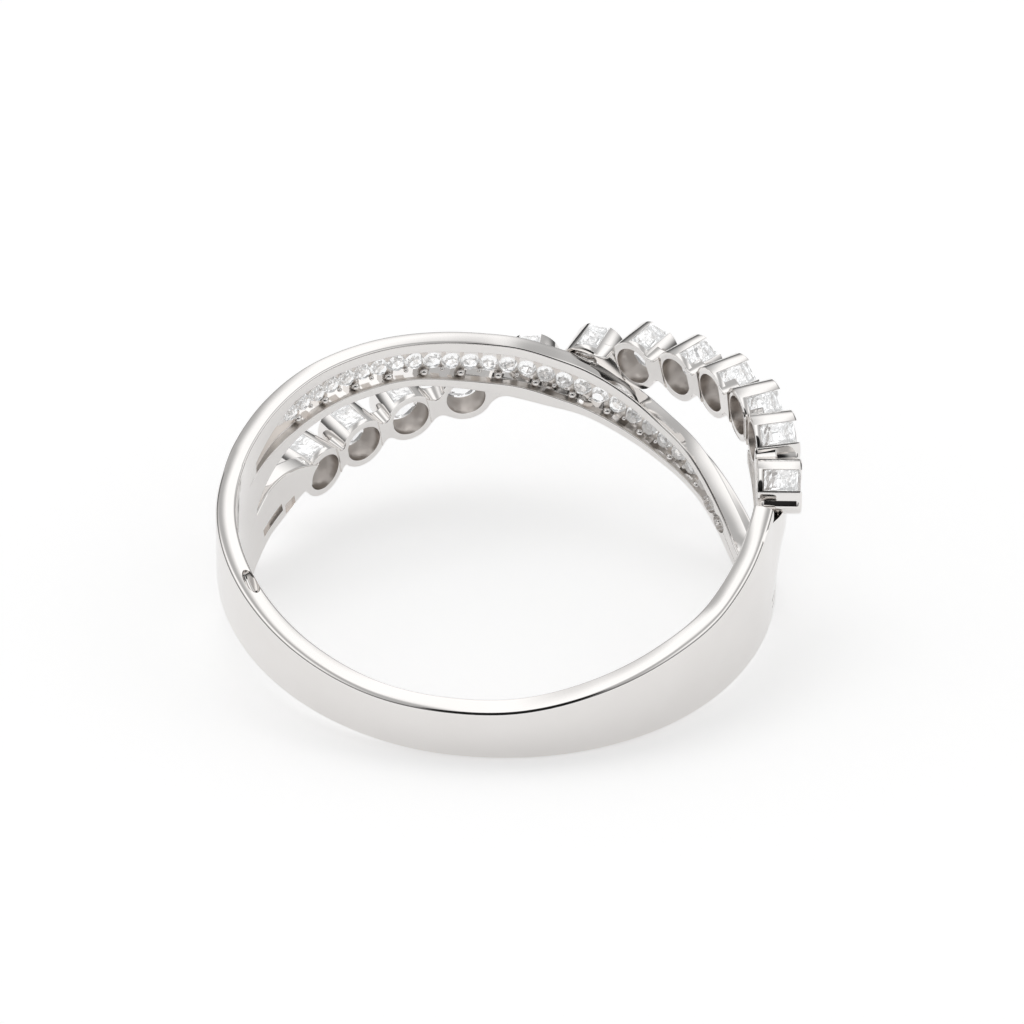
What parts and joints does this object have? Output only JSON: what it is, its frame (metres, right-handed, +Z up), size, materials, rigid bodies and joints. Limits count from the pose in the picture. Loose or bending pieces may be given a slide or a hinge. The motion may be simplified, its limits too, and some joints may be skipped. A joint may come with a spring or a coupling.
{
  "type": "crossover ring",
  "caption": "Polished white metal finger ring whose band splits into a pierced pave strand and a chain of round stone cups that cross over each other.",
  "frame": {"origin": "centre of the box on the surface that the ring rests on, lying on its side", "axes": "+Z up from the surface, +Y from the back of the band toward the head, +X to the right as seen from the back of the band"},
  "size_m": [0.0199, 0.0209, 0.008],
  "materials": {
    "white_metal": "polished",
    "clear_stone": "faceted and polished"
  },
  "bodies": {
    "root": {"metal": "white_metal", "small_stones": "clear_stone", "large_stone_1": "clear_stone", "large_stone_2": "clear_stone", "large_stone_3": "clear_stone", "large_stone_4": "clear_stone", "large_stone_5": "clear_stone", "large_stone_6": "clear_stone", "large_stone_7": "clear_stone", "large_stone_8": "clear_stone", "large_stone_9": "clear_stone", "large_stone_10": "clear_stone", "large_stone_11": "clear_stone", "large_stone_12": "clear_stone"}
  },
  "joints": []
}
